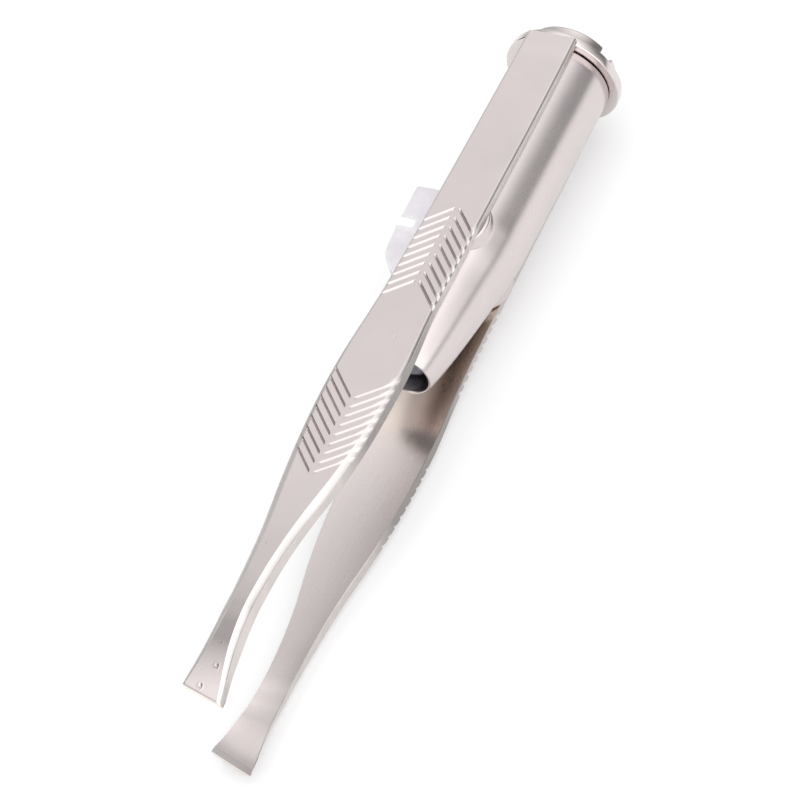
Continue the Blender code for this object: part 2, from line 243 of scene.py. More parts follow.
def steel(name, color, rough, grain=(900, 900, 900), grain_strength=0.05,
          spread=0.06, tint=0.04, rough_scale=260.0, bump=0.02, painted_shading=None):
    """Stamped or turned stainless steel: fine grain, faint blotches, wear.

    The last argument is a list of (local y in mm, colour factor): painted shade and painted reflection, the
    brightness that light and reflections give each stretch along its length, multiplied into the colour.
    """
    m, nt, b = new_material(name)
    L = nt.links.new
    b.inputs["Metallic"].default_value = 1.0
    co = object_coords(nt, grain)
    g = node(nt, "ShaderNodeTexNoise", Scale=1.0, Detail=3.0, Roughness=0.6)
    L(co, g.inputs["Vector"])
    co2 = object_coords(nt, (1, 1, 1))
    blotch = node(nt, "ShaderNodeTexNoise", Scale=rough_scale, Detail=4.0, Roughness=0.55)
    L(co2, blotch.inputs["Vector"])
    lo = tuple(c * (1 - tint) for c in color)
    hi = tuple(min(1.0, c * (1 + tint)) for c in color)
    cr = ramp(nt, blotch.outputs["Fac"], [(0.30, lo), (0.70, hi)])
    colour = cr.outputs["Color"]
    # painted shade and painted reflection along the length, multiplied into the colour
    if painted_shading:
        sep = nt.nodes.new("ShaderNodeSeparateXYZ")
        L(co2, sep.inputs["Vector"])
        pos = nt.nodes.new("ShaderNodeMapRange")
        pos.inputs["From Min"].default_value = -94.0 * MM + ORIGIN_Y
        pos.inputs["From Max"].default_value = 4.0 * MM + ORIGIN_Y
        L(sep.outputs["Y"], pos.inputs["Value"])
        stops = [((t[0] + 94.0) / 98.0, t[1] if isinstance(t[1], tuple) else (t[1],) * 3)
                 for t in sorted(painted_shading, key=lambda t: t[0])]
        tr = ramp(nt, pos.outputs["Result"], stops)
        mul = nt.nodes.new("ShaderNodeMix")
        mul.data_type, mul.blend_type = "RGBA", "MULTIPLY"
        mul.inputs[0].default_value = 1.0
        L(colour, mul.inputs[6])
        L(tr.outputs["Color"], mul.inputs[7])
        colour = mul.outputs[2]
    L(colour, b.inputs["Base Color"])
    mix = nt.nodes.new("ShaderNodeMath")
    mix.operation = "ADD"
    L(g.outputs["Fac"], mix.inputs[0])
    L(blotch.outputs["Fac"], mix.inputs[1])
    rr = nt.nodes.new("ShaderNodeMapRange")
    rr.inputs["From Min"].default_value = 0.6
    rr.inputs["From Max"].default_value = 1.4
    rr.inputs["To Min"].default_value = rough - spread
    rr.inputs["To Max"].default_value = rough + spread
    L(mix.outputs[0], rr.inputs["Value"])
    L(rr.outputs["Result"], b.inputs["Roughness"])
    if bump:
        bp = node(nt, "ShaderNodeBump", Strength=grain_strength, Distance=bump * MM)
        L(g.outputs["Fac"], bp.inputs["Height"])
        L(bp.outputs["Normal"], b.inputs["Normal"])
    return m


MAT = {}
# painted shade and painted reflection on the upper arm's outer face: colour factors by station, darkest on the
# neck at -84 to -86
NEAR_PAINTED_SHADE = [(-66, 0.95), (-72, 0.91), (-75, 0.85), (-78, 0.77), (-81, 0.68), (-84, 0.445),
             (-86, 0.415), (-88, 0.66), (-89.5, 0.83), (-91.5, 1.0), (-46, 0.98), (0, 1.0)]
# painted shade, painted reflection and a warm tint on the arms' inner faces: colour factors by station
FAR_PAINTED_SHADE = [(-30, (0.84, 0.80, 0.70)), (-40, (0.88, 0.83, 0.75)), (-46, (1.20, 1.15, 1.08)),
            (-50, 1.0), (-60, 0.87), (-68, 0.80), (-72, 0.73), (-76, 0.735), (-80, 0.805),
            (-84, 1.13), (-87, 1.02), (-92, 1.0), (-20, (0.9, 0.86, 0.78))]
MAT["arm"] = steel("arm_satin_steel", (0.612, 0.557, 0.552), 0.30, (2600, 260, 2600), 0.06,
                   0.05, 0.022, 190.0, 0.004, NEAR_PAINTED_SHADE)
MAT["arm_far"] = steel("arm_satin_steel_far", (0.612, 0.557, 0.552), 0.30, (2600, 260, 2600), 0.04,
                       0.05, 0.022, 190.0, 0.004)
# painted highlight: the pressed edge is a brighter copy of the arm steel, held down by painted shade to 0.78
# from the tail to -50
MAT["arm_roll"] = steel("arm_pressed_edge_painted_highlight", (0.735, 0.69, 0.675), 0.28, (2600, 260, 2600), 0.04,
                        0.04, 0.025, 190.0, 0.003,
                        [(0, 0.78), (-50, 0.78), (-60, 0.92), (-68, 1.0), (-90, 1.0), (-93, 0.96)])
# the sheared edge's own tan grey, with painted shade from -44 to -58, where the factor drops to 0.52
MAT["arm_side"] = steel("arm_sheared_edge", (0.63, 0.585, 0.565), 0.34, (1500, 1500, 5200), 0.25,
                        0.07, 0.06, 420.0, 0.010,
                        [(0, 1.0), (-36, 0.95), (-44, 0.52), (-58, 0.52), (-64, 0.98), (-92, 1.06)])
MAT["tube"] = steel("tube_polished_steel", (0.665, 0.607, 0.602), 0.26, (5200, 420, 5200), 0.014,
                    0.025, 0.02, 150.0, 0.002)
MAT["cap"] = steel("cap_turned_steel", (0.71, 0.655, 0.64), 0.17, (700, 6500, 700), 0.05,
                   0.04, 0.03, 240.0, 0.003)
MAT["arm_inner"] = steel("arm_inner_face", (0.588, 0.537, 0.527), 0.28, (2600, 220, 2600), 0.006,
                         0.03, 0.02, 170.0, 0.002, FAR_PAINTED_SHADE)
# painted shade: the ground flat inside the tip is a dark copy of the arm steel
MAT["arm_ground"] = steel("tip_ground_flat_painted_shade", (0.36, 0.33, 0.335), 0.34, (900, 5200, 900), 0.2,
                          0.06, 0.06, 500.0, 0.010)
# painted highlight: the tip's end edge is a bright, warm copy of the arm steel
MAT["arm_end"] = steel("tip_end_edge_painted_highlight", (0.86, 0.80, 0.74), 0.36, (1500, 1500, 5200), 0.2,
                       0.06, 0.05, 500.0, 0.008)
MAT["nickel"] = steel("nickel_plate", (0.72, 0.68, 0.60), 0.28, (900, 900, 900), 0.05, 0.06,
                      0.05, 300.0, 0.004)
MAT["spring"] = steel("spring_wire", (0.58, 0.58, 0.60), 0.28, (2200, 2200, 2200), 0.05, 0.05,
                      0.06, 500.0, 0.004)
MAT["can"] = steel("cell_can", (0.75, 0.75, 0.76), 0.22, (600, 3200, 600), 0.05, 0.05, 0.03,
                   200.0, 0.004)


def plastic(name, color, rough, bump=0.05, scale=2600.0, tint=0.08):
    m, nt, b = new_material(name)
    L = nt.links.new
    co = object_coords(nt)
    g = node(nt, "ShaderNodeTexNoise", Scale=scale, Detail=3.0, Roughness=0.6)
    L(co, g.inputs["Vector"])
    lo = tuple(c * (1 - tint) for c in color)
    cr = ramp(nt, g.outputs["Fac"], [(0.35, lo), (0.65, color)])
    L(cr.outputs["Color"], b.inputs["Base Color"])
    rr = nt.nodes.new("ShaderNodeMapRange")
    rr.inputs["To Min"].default_value = rough - 0.08
    rr.inputs["To Max"].default_value = rough + 0.08
    L(g.outputs["Fac"], rr.inputs["Value"])
    L(rr.outputs["Result"], b.inputs["Roughness"])
    bp = node(nt, "ShaderNodeBump", Strength=bump, Distance=0.02 * MM)
    L(g.outputs["Fac"], bp.inputs["Height"])
    L(bp.outputs["Normal"], b.inputs["Normal"])
    return m


MAT["black"] = plastic("black_moulding", (0.045, 0.045, 0.05), 0.5, 0.12)


def knob_material(name, painted_light_glow):
    """Translucent white moulding: cloudy, faintly lilac."""
    m, nt, b = new_material(name)
    L = nt.links.new
    co = object_coords(nt)
    g = node(nt, "ShaderNodeTexNoise", Scale=900.0, Detail=3.0, Roughness=0.6)
    L(co, g.inputs["Vector"])
    cr = ramp(nt, g.outputs["Fac"], [(0.30, (0.735, 0.712, 0.745)), (0.70, (0.815, 0.79, 0.82))])
    L(cr.outputs["Color"], b.inputs["Base Color"])
    rr = nt.nodes.new("ShaderNodeMapRange")
    rr.inputs["To Min"].default_value = 0.28
    rr.inputs["To Max"].default_value = 0.42
    L(g.outputs["Fac"], rr.inputs["Value"])
    L(rr.outputs["Result"], b.inputs["Roughness"])
    b.inputs["Subsurface Weight"].default_value = 1.0
    b.inputs["Subsurface Radius"].default_value = (1.0, 1.0, 1.0)
    b.inputs["Subsurface Scale"].default_value = 0.0016
    b.inputs["IOR"].default_value = 1.46
    b.inputs["Transmission Weight"].default_value = 0.25
    # the glow argument is painted light: an emission that makes the faces look lit
    b.inputs["Emission Color"].default_value = (1.0, 1.0, 1.0, 1.0)
    b.inputs["Emission Strength"].default_value = painted_light_glow
    return m


MAT["white"] = knob_material("translucent_white", 0.0)
# the notch walls glow: painted light, standing in for the light that falls on them
MAT["white_notch"] = knob_material("translucent_white_notch", 0.5)


def epoxy_material():
    m, nt, b = new_material("lamp_epoxy")
    L = nt.links.new
    co = object_coords(nt)
    g = node(nt, "ShaderNodeTexNoise", Scale=700.0, Detail=2.0, Roughness=0.5)
    L(co, g.inputs["Vector"])
    cr = ramp(nt, g.outputs["Fac"], [(0.3, (0.50, 0.55, 0.66)), (0.7, (0.60, 0.64, 0.74))])
    L(cr.outputs["Color"], b.inputs["Base Color"])
    rr = nt.nodes.new("ShaderNodeMapRange")
    rr.inputs["To Min"].default_value = 0.02
    rr.inputs["To Max"].default_value = 0.06
    L(g.outputs["Fac"], rr.inputs["Value"])
    L(rr.outputs["Result"], b.inputs["Roughness"])
    b.inputs["Transmission Weight"].default_value = 0.72
    b.inputs["IOR"].default_value = 1.53
    return m


MAT["epoxy"] = epoxy_material()
MAT["die"] = plastic("lamp_die", (0.75, 0.62, 0.20), 0.45, 0.05, 4000.0)

for n, key in (("lamp_tube", "tube"), ("end_cap", "cap"), ("cap_contact_plate", "nickel"),
               ("battery_spring", "spring"), ("battery_sleeve", "black"), ("cell_1", "can"),
               ("cell_2", "can"), ("cell_3", "can"), ("front_contact", "nickel"),
               ("led_holder", "black"), ("led_lamp", "epoxy"), ("led_anode_lead", "nickel"),
               ("led_cathode_lead", "nickel"), ("switch_knob", "white"),
               ("switch_carrier", "black"), ("switch_contact", "nickel"),
               ("upper_arm_root", "arm"), ("upper_arm_blade", "arm"),
               ("lower_arm_root", "arm"), ("lower_arm_blade", "arm")):
    ob = frame["nodes"][n] if isinstance(frame["nodes"], dict) and n in frame["nodes"] else bpy.data.objects[n]
    ob.data.materials.clear()
    ob.data.materials.append(MAT[key])


# ------------------------------------------------------------- the two arms
# Outer face height, width and side depth of the stamped strip, by station.
RISE = [(0.6, 6.86), (0, 6.85), (-1.2, 6.83), (-3, 6.80), (-12, 6.82), (-22, 6.97), (-33, 7.16), (-42, 7.42),
        (-51, 7.64), (-60, 7.80), (-69, 8.00), (-77, 8.26), (-81.8, 8.26), (-84, 8.10),
        (-86.5, 7.78), (-89, 7.33), (-93, 6.48)]
WIDTH = [(0.6, 5.78), (0, 5.80), (-12, 6.12), (-22, 6.25), (-33, 6.50), (-38, 6.62),
         (-42, 7.00), (-45, 7.45), (-48, 7.80), (-51, 7.88), (-54, 7.80), (-57, 7.60),
         (-60, 7.24), (-63, 6.68), (-66, 5.90), (-69, 4.96), (-72, 4.16), (-75, 3.60),
         (-78, 3.22), (-81, 3.04), (-84, 3.14), (-86.5, 3.48), (-89, 4.12), (-91, 4.80),
         (-93, 5.42)]
# how far the sheared right side leans out below the pressed edge
LEAN = [(0.6, 0.0), (-66, 0.0), (-72, 0.02), (-78, 0.14), (-86, 0.30), (-93, 0.24)]
# sideways set of the two necks, against each other
SET = [(0.6, 0.0), (-66, 0.0), (-72, 0.12), (-80, 0.16), (-86, 0.08), (-90, -0.06), (-93, -0.08)]
SET_UP = [(0.6, 0.0), (-62, 0.0), (-70, -0.12), (-80, -0.12), (-86, -0.04), (-90, 0.0), (-93, 0.0)]
DEPTH = [(0.6, 1.04), (-24, 1.04), (-38, 1.10), (-44, 1.42), (-50, 1.65), (-80, 1.75),
         (-86, 1.58), (-91, 0.90), (-93, 0.90)]
ROLL = [(0.6, 0.24), (-24, 0.24), (-36, 0.26), (-44, 0.30), (-50, 0.38), (-56, 0.46), (-61, 0.62),
        (-65, 0.76), (-72, 0.80), (-80, 0.78), (-86, 0.72), (-90, 0.52), (-93, 0.36)]
SLOPE = 0.0975
TIP_L, TIP_R = -91.25, -93.05
TIP_MID = 0.5 * (TIP_L + TIP_R)
SLANT_FROM = -84.0
GRIND = 0.75
GRIND_DEPTH = 0.20

# Grip grooves: first centre end, pitch, slope of the left and right halves.
UP_FIRST, UP_PITCH, UP_L, UP_R = -25.90, 1.338, -0.93, -1.06
LO_FIRST, LO_PITCH, LO_L, LO_R = -53.66, 1.302, 1.03, 0.86
GROOVES = 9
UP_HALF, UP_DEEP = 0.255, 0.235      # width of the sloping flank and depth of a groove
LO_HALF, LO_DEEP = 0.225, 0.205
STEEP = 0.30                         # the other flank, as a part of the sloping one


def chevron(v, x):
    """How far a row of the mesh is bent back or forward at x."""
    a = smoothstep(-2.0, -24.0, v) * (1 - smoothstep(-38.3, -45.0, v))
    b = smoothstep(-45.0, -51.8, v) * (1 - smoothstep(-66.0, -84.0, v))
    s = np.where(x < 0, a * UP_L + b * LO_L, a * UP_R + b * LO_R)
    ax = np.sqrt(x * x + 0.16 * 0.16) - 0.16
    return s * ax


def groove_rows():
    rows = []
    for first, pitch, half, slope in ((UP_FIRST, UP_PITCH, UP_HALF, 1.0),
                                      (LO_FIRST, LO_PITCH, LO_HALF, 0.95)):
        k = math.sqrt(1 + slope * slope)
        for i in range(GROOVES):
            c = first - pitch * i
            for t in (-1.9, -1.35, -1.12, -1.0, -0.86, -0.60, -0.35, -0.12, -0.03, 0.05, 0.15, 0.25,
                      0.33, 0.45, 0.8):
                rows.append(c - t * half * k)
            rows.append(c - pitch * 0.5)
    return rows


def stations(ground):
    marks = groove_rows()
    top, bottom = 0.45, TIP_MID
    rows = [top, top - 0.04, top - 0.10, top - 0.25]
    y = top - 0.6
    while y > -24.8:
        rows.append(y)
        y -= 0.55
    rows += [r for r in marks]
    y = -38.0
    while y > -52.6:
        rows.append(y)
        y -= 0.30
    y = -65.2
    while y > -72.0:
        rows.append(y)
        y -= 0.25
    while y > TIP_MID + GRIND + 0.15:
        rows.append(y)
        y -= 0.13
    rows += [TIP_MID + GRIND + 0.10, TIP_MID + GRIND + 0.02, TIP_MID + GRIND - 0.04]
    y = TIP_MID + GRIND - 0.16
    while y > TIP_MID + 0.16:
        rows.append(y)
        y -= 0.12
    rows += [TIP_MID + 0.10, TIP_MID + 0.05, TIP_MID + 0.02, TIP_MID]
    rows = sorted(set(round(r, 4) for r in rows), reverse=True)
    keep = [rows[0]]
    for r in rows[1:]:
        if keep[-1] - r > 0.012:
            keep.append(r)
    keep[-1] = TIP_MID
    return np.array(keep)


def groove_depth(v, x, half_w):
    """Depth of the grip grooves at row v and place x across the arm."""
    out = np.zeros_like(x)
    for first, pitch, half, deep, sl, sr, upper in (
            (UP_FIRST, UP_PITCH, UP_HALF, UP_DEEP, 1.0, 1.0, True),
            (LO_FIRST, LO_PITCH, LO_HALF, LO_DEEP, 0.95, 0.95, False)):
        k = math.sqrt(1 + sl * sl)
        i = np.clip(np.round((first - v) / pitch), 0, GROOVES - 1)
        # a little uneven, as hand-set coining is
        if upper:
            flare = np.where(x > 0, 1 + 0.9 * smoothstep(half_w - 0.62, half_w - 0.10, np.abs(x)), 1.0)
        else:
            flare = np.where(x > 0, 1 + 0.95 * smoothstep(half_w - 1.5, half_w - 0.15, np.abs(x)), 1.0)
        # a sloping flank on the tail side and a steep one towards the tip
        t = (v - (first - pitch * i)) / (k * half)
        t = np.where(t > 0, t / flare, -t / STEEP)
        vee = np.clip(1.0 - t, 0.0, 1.0)
        vee = np.where(vee < 0.12, vee * vee / 0.24, vee - 0.06) / 0.94
        ax = np.abs(x)
        inner = 0.24 if upper else 0.26
        start = smoothstep(inner, inner + 0.20, ax)
        if upper:
            end_l = 1 - smoothstep(2.86, 3.08, ax) * 1.0
            tick = smoothstep(half_w - 0.16, half_w - 0.06, ax) * 0.45
            end = np.where(x < 0, np.maximum(end_l, tick), 1.0)
            more = np.where(x > 0, 1 + 0.85 * smoothstep(half_w - 0.62, half_w, ax), 1.0)
        else:
            end_l = 1 - smoothstep(half_w - 0.42, half_w - 0.22, ax)
            end = np.where(x < 0, end_l, 1.0)
            more = np.where(x > 0, 1 + 0.35 * smoothstep(half_w - 1.0, half_w - 0.1, ax), 1.0)
        deepen = deep * (1 + 0.08 * np.sin(i * 2.3 + (x > 0) * 1.7))
        out = np.maximum(out, vee * start * end * more * deepen)
    return out


DENTS = [(-0.52, -73.8, 0.10, 0.05), (0.05, -86.5, 0.11, 0.05), (0.65, -89.0, 0.19, 0.10),
         (-0.24, -91.62, 0.20, 0.11), (-1.05, -90.15, 0.07, 0.03), (0.95, -44.6, 0.10, 0.03)]


# The pressed edge: x and drop as parts of its width, turning from 17 degrees
# to 40 where it is wide and to 57 where it is narrow, then breaking sharply
# into the sheared side.
ROLL_X = np.array([0.10, 0.24, 0.40, 0.56, 0.72, 0.86, 0.94, 0.985, 1.0])


def roll_profile(width, depth):
    t = ROLL_X
    turn = 0.26 + 0.36 * float(1 - smoothstep(0.26, 0.50, width))
    drop = width * (0.30 * t + turn * t * t)
    drop = drop + width * 0.10 * np.clip((t - 0.90) / 0.10, 0, 1) ** 2
    return np.minimum(drop, depth * 0.6)


def arm_object(name, side, dents):
    rows = stations(True)
    n_out, n_roll, n_wall, n_in = 84, len(ROLL_X), 5, 30
    # across the outer face: s from -1 to 1 over the flat, then the roll by angle
    verts = []
    flat = np.linspace(-1, 1, n_out)
    ang = np.linspace(0, 1, n_roll + 1)[1:] * (math.pi / 2)
    grid = []
    groups = []
    for v in rows:
        def placed(frac, extra=0.0):
            """x, y for a fraction of the half width."""
            half = 0.5 * float(between(WIDTH, v))
            x = frac * half
            for _ in range(3):
                y = v + chevron(np.full_like(x, v), x)
                x = frac * 0.5 * between(WIDTH, y)
            return x, y
        roll_v = float(between(ROLL, v))
        half_v = 0.5 * float(between(WIDTH, v))
        # outer face points
        fr_flat = 1 - roll_v / half_v
        fr = flat * fr_flat
        x, y = placed(fr)
        half = 0.5 * between(WIDTH, y)
        d0 = np.zeros_like(x)
        rr = np.full_like(x, roll_v)
        # right roll
        fr_r = fr_flat + (roll_v / half_v) * ROLL_X
        xr, yr = placed(fr_r)
        deep_r = between(DEPTH, yr)
        roll_d = roll_profile(roll_v, deep_r)
        dr = roll_d
        # right wall
        w = np.linspace(0, 1, n_wall + 1)[1:]
        frw = np.ones(n_wall)
        xw, yw = placed(frw)
        deep_w = between(DEPTH, yw)
        edge = 0.07
        dwall = roll_d[-1] + (deep_w - edge - roll_d[-1]) * w
        # inner face, right to left
        fi = np.cos(np.linspace(0, math.pi, n_in))
        fi = np.sign(fi) * (1 - (1 - np.abs(fi)) ** 1.0)
        fin = fi * (1 - edge / half_v)
        xi, yi = placed(fin)
        deep_i = between(DEPTH, yi)
        hollow = np.clip((deep_i - 1.04) * 0.16, 0, 0.10)
        di = deep_i - hollow * np.clip(1 - fi ** 2, 0, 1)
        fx = np.concatenate([x, xr, xw, xi, xw[::-1] * -1, xr[::-1] * -1])
        # left side: placed separately, as the rows bend differently there
        xl_w, yl_w = placed(-frw)
        xl_r, yl_r = placed(-fr_r)
        deep_lw = between(DEPTH, yl_w)
        deep_lr = between(DEPTH, yl_r)
        roll_dl = roll_profile(roll_v, deep_lr)
        dl_r = roll_dl
        dwl = roll_dl[-1] + (deep_lw - edge - roll_dl[-1]) * w
        X = np.concatenate([x, xr, xw, xi, xl_w[::-1], xl_r[::-1]])
        Y = np.concatenate([y, yr, yw, yi, yl_w[::-1], yl_r[::-1]])
        D = np.concatenate([d0, dr, dwall, di, dwl[::-1], dl_r[::-1]])
        kind = np.concatenate([np.zeros(len(x)), np.ones(n_roll), np.full(n_wall, 2),
                               np.full(n_in, 3), np.full(n_wall, 2), np.ones(n_roll)])
        # grooves cut the outer face and, on the right, run out through the edge
        half_all = 0.5 * between(WIDTH, Y)
        g = groove_depth(np.full_like(X, v), X, half_all)
        face = kind <= 1
        D = np.where(face, D + g * (1 - 0.35 * (kind == 1)), D)
        first_wall = len(x) + n_roll
        # scalloped edge: the groove nips the right wall
        nip = g[len(x) + n_roll - 1]
        X[len(x):len(x) + n_roll] -= nip * 0.45 * ROLL_X
        X[first_wall:first_wall + n_wall] -= nip * 0.45 * (1 - w) ** 0.7
        if dents:
            for dx, dy, rad, deep in DENTS:
                q = ((X - dx) ** 2 + (Y - dy) ** 2) / (rad * rad)
                D = np.where(face, D + deep * np.exp(-q * q * 0.7) - 0.35 * deep * np.exp(-(np.sqrt(q) - 1.45) ** 2 * 6), D)
        # the sheared right side leans out, and the lower arm's neck sits to the right
        lean = between(LEAN, Y)
        w_all = np.zeros_like(X)
        w_all[first_wall:first_wall + n_wall] = w
        w_all[first_wall + n_wall:first_wall + n_wall + n_in] = 0.5 * (fi + 1)
        X = X + lean * w_all
        X = X + between(SET if side < 0 else SET_UP, Y)
        # slanted tip
        rampv = float(smoothstep(SLANT_FROM, TIP_MID, v))
        half_c = 0.5 * between(WIDTH, Y)
        skew = 0.5 * (TIP_R - TIP_L) * rampv * np.clip(X / half_c, -1, 1)
        wide = between(WIDTH, Y + skew) * 0.5 / half_c
        wide = 1 + (wide - 1) * (1.0 if rampv > 0 else 0.0)
        top = between(RISE, Y)
        # ground flat inside the tip, and the broken edge outside it
        gr = min(1.0, max(0.0, (TIP_MID + GRIND - v) / GRIND))
        D = np.where(kind == 3, D - GRIND_DEPTH * gr, D)
        D = np.where(kind == 2, np.minimum(D, between(DEPTH, Y) - 0.07 - GRIND_DEPTH * gr), D)
        end_round = min(1.0, max(0.0, (TIP_MID + 0.10 - v) / 0.10))
        D = np.where(kind <= 1, D + 0.09 * end_round ** 2, D)
        # tail end: a ramp and a zero shift are worked out here and not used; the tail is made to lap over the
        # cap's rounded flange below, once the grid is built
        tail = np.clip((0.45 - v) / 0.30, 0, 1)
        shift = np.zeros_like(D)
        if v > -0.25:
            pass
        Z = (top - SLOPE * skew - D)
        P = np.stack([X * wide, Y + skew, side * Z], 1)
        grid.append(P)
        groups.append(kind)
    grid = np.array(grid)
    kind = groups[0].astype(int)
    # the tail end laps over the cap's rim and stops short of it underneath
    for r in range(len(rows)):
        if rows[r] > -1.2:
            f = (rows[r] + 1.2) / 1.65
            reach = np.hypot(grid[r, :, 0], grid[r, :, 2])
            grid[r, :, 1] -= f * 0.50 * (1 - smoothstep(6.775, 6.80, reach))
    nr, nc = grid.shape[:2]
    pts = grid.reshape(-1, 3)
    verts = [world(*p) for p in pts]
    faces, mats = [], []
    for r in range(nr - 1):
        for c in range(nc):
            d = (c + 1) % nc
            faces.append((r * nc + c, r * nc + d, (r + 1) * nc + d, (r + 1) * nc + c))
            ka, kb = kind[c], kind[d]
            m = 0
            if ka == 2 or kb == 2:
                m = 1
            elif ka == 1 or kb == 1:
                m = 5
            elif ka == 3 and kb == 3:
                m = 2
                # inner faces past the ground line take the dark painted shade material
                if rows[r + 1] < TIP_MID + GRIND - 0.03:
                    m = 3
            mats.append(m)
    # ends: strips between the outer face and the inner face
    def cap(row, flip):
        o = [row * nc + c for c in range(nc)]
        face_cols = list(range(0, n_out))
        right = list(range(n_out, n_out + n_roll + n_wall))
        inner = list(range(n_out + n_roll + n_wall, n_out + n_roll + n_wall + n_in))
        left = list(range(n_out + n_roll + n_wall + n_in, nc))
        top_line = left + face_cols + right            # left wall up, across, right wall down
        bot_line = inner[::-1]
        # march along both lines by x
        tx = [grid[row, c, 0] for c in top_line]
        bx = [grid[row, c, 0] for c in bot_line]
        i = j = 0
        while i < len(top_line) - 1 or j < len(bot_line) - 1:
            if j == len(bot_line) - 1 or (i < len(top_line) - 1 and tx[i + 1] <= bx[j + 1]):
                tri = (o[top_line[i]], o[top_line[i + 1]], o[bot_line[j]])
                i += 1
            else:
                tri = (o[top_line[i]], o[bot_line[j + 1]], o[bot_line[j]])
                j += 1
            faces.append(tri if flip else tri[::-1])
            # the tip end takes the painted highlight material; the tail end takes the sheared edge
            mats.append(1 if row == 0 else 4)
    cap(0, True)
    cap(nr - 1, False)
    ob = mesh_object(name, verts, faces,
                     [MAT["arm" if dents else "arm_far"], MAT["arm_side"], MAT["arm_inner"], MAT["arm_ground"],
                      MAT["arm_end"], MAT["arm_roll"]], True, None)
    ob.data.polygons.foreach_set("material_index", mats)
    bm = bmesh.new()
    bm.from_mesh(ob.data)
    bmesh.ops.recalc_face_normals(bm, faces=bm.faces)
    bm.to_mesh(ob.data)
    bm.free()
    ob.data.shade_smooth()
    ob.data.set_sharp_from_angle(angle=math.radians(32))
    return ob


TIP_L, TIP_R = -91.58, -93.05
TIP_MID = 0.5 * (TIP_L + TIP_R)
upper = arm_object("upper_arm", 1, True)
TIP_L, TIP_R = -91.25, -92.90
TIP_MID = 0.5 * (TIP_L + TIP_R)
lower = arm_object("lower_arm", -1, False)
for ob, blade, root in ((upper, "upper_blade", "upper_arm"), (lower, "lower_blade", "lower_arm")):
    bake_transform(ob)
    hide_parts(root + "_root", root + "_blade")

# ---------------------------------------------------------------- the tube
TUBE_R = 5.70


def nose_r(y):
    """Radius of the ogive nose at station y (straight above -25)."""
    table = [(-25.0, 5.70), (-28.0, 5.46), (-30.9, 5.03 + 0.06), (-34.6, 4.66), (-38.4, 4.16),
             (-41.95, 3.58), (-43.1, 3.34), (-43.9, 3.10)]
    if y >= -25.0:
        return TUBE_R
    return float(between(table, y))


outer = [(5.32, -0.15), (5.60, -0.15), (5.67, -0.19), (5.70, -0.28)]
y = -1.4
while y > -24.9:
    outer.append((TUBE_R, y))
    y -= 1.2
y = -25.0
while y > -43.3:
    outer.append((nose_r(y), y))
    y -= 0.6
outer += [(3.27, -43.35), (3.20, -43.62), (3.14, -43.80), (3.06, -43.90), (2.96, -43.93),
          (2.86, -43.88), (2.80, -43.76), (2.78, -43.55)]
inner = [(2.78, -42.9), (2.80, -42.4)]
for yy in (-41.0, -39.5, -38.0, -36.3, -34.6, -32.8, -31.0, -29.4, -28.0, -26.4):
    inner.append((nose_r(yy) - 0.62, yy))
inner += [(5.10, -25.0), (5.10, -12.0), (5.10, -4.4), (5.12, -0.30), (5.20, -0.15)]
tube = turned("battery_tube", outer + inner, MAT["tube"], 192, 28)


def cut(ob, cutter):
    """Exact difference, applied, with the cutter removed."""
    mod = ob.modifiers.new("cut", "BOOLEAN")
    mod.operation, mod.solver, mod.object = "DIFFERENCE", "EXACT", cutter
    dg = bpy.context.evaluated_depsgraph_get()
    me = bpy.data.meshes.new_from_object(ob.evaluated_get(dg))
    old = ob.data
    ob.modifiers.clear()
    ob.data = me
    bpy.data.meshes.remove(old)
    bpy.data.objects.remove(cutter)
    return ob


def block(name, lo, hi, bevel=0.0, seg=3):
    """Rounded block in local millimetres, used as a cutter or a small part."""
    bm = bmesh.new()
    bmesh.ops.create_cube(bm, size=1.0)
    for v in bm.verts:
        v.co = world(*[lo[i] + (v.co[i] + 0.5) * (hi[i] - lo[i]) for i in range(3)])
    if bevel:
        bmesh.ops.bevel(bm, geom=bm.edges[:], offset=bevel * MM, segments=seg, profile=0.5,
                        affect="EDGES")
    return bm_object(name, bm, [], 35)


def smooth_again(ob, angle=28):
    ob.data.shade_smooth()
    ob.data.set_sharp_from_angle(angle=math.radians(angle))


cut(tube, block("slot_cut", (-7.0, -28.6, -0.95), (-3.4, -22.1, 0.95), 0.3, 3))
smooth_again(tube)
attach(tube, "tube_body")
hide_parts("lamp_tube")

# round raised pads under the arms, where the strips are welded on
PAD_TOP = 5.96


